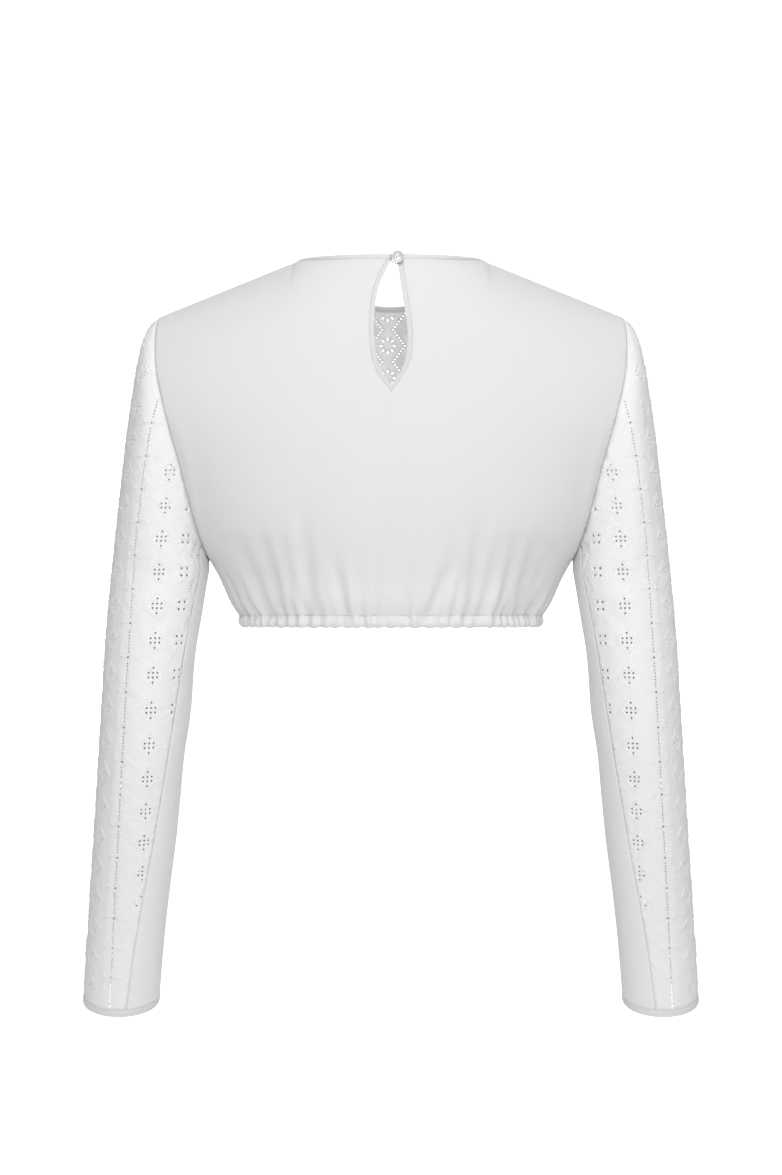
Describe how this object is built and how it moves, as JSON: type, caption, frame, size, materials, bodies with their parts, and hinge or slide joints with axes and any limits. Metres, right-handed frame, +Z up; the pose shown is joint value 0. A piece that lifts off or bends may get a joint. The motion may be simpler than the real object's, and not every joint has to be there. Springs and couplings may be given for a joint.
{
  "type": "dirndl blouse",
  "caption": "Cropped long-sleeved folk blouse of white cotton with cutwork embroidery, a keyhole back closed by a button and loop, and an elastic hem, in its worn hollow form.",
  "frame": {"origin": "midway between the two points where the neckline meets the shoulder seams", "axes": "+Z up the wearer, -Y out of the wearer's back, +Y out of the front, +X to the wearer's right"},
  "size_m": [0.5494, 0.2311, 0.6673],
  "materials": {
    "plain_cotton": "white cotton batiste, matt, fine plain weave",
    "embroidered_cotton": "white cotton with eyelet and satin-stitch embroidery",
    "turned_edge": "white cotton turned twice and stitched",
    "button": "pale pearly two-hole button",
    "loop_thread": "white thread loop"
  },
  "bodies": {
    "root": {"back_panel": "plain_cotton", "keyhole_binding": "turned_edge", "front_panel": "embroidered_cotton", "neck_band_back_left": "turned_edge", "neck_band_back_right": "turned_edge", "neck_band_front": "turned_edge", "casing_back": "plain_cotton", "casing_front": "plain_cotton", "sleeve_outer_left": "embroidered_cotton", "sleeve_under_left": "plain_cotton", "cuff_hem_left": "turned_edge", "sleeve_outer_right": "embroidered_cotton", "sleeve_under_right": "plain_cotton", "cuff_hem_right": "turned_edge", "button": "button", "button_loop": "loop_thread"}
  },
  "joints": []
}
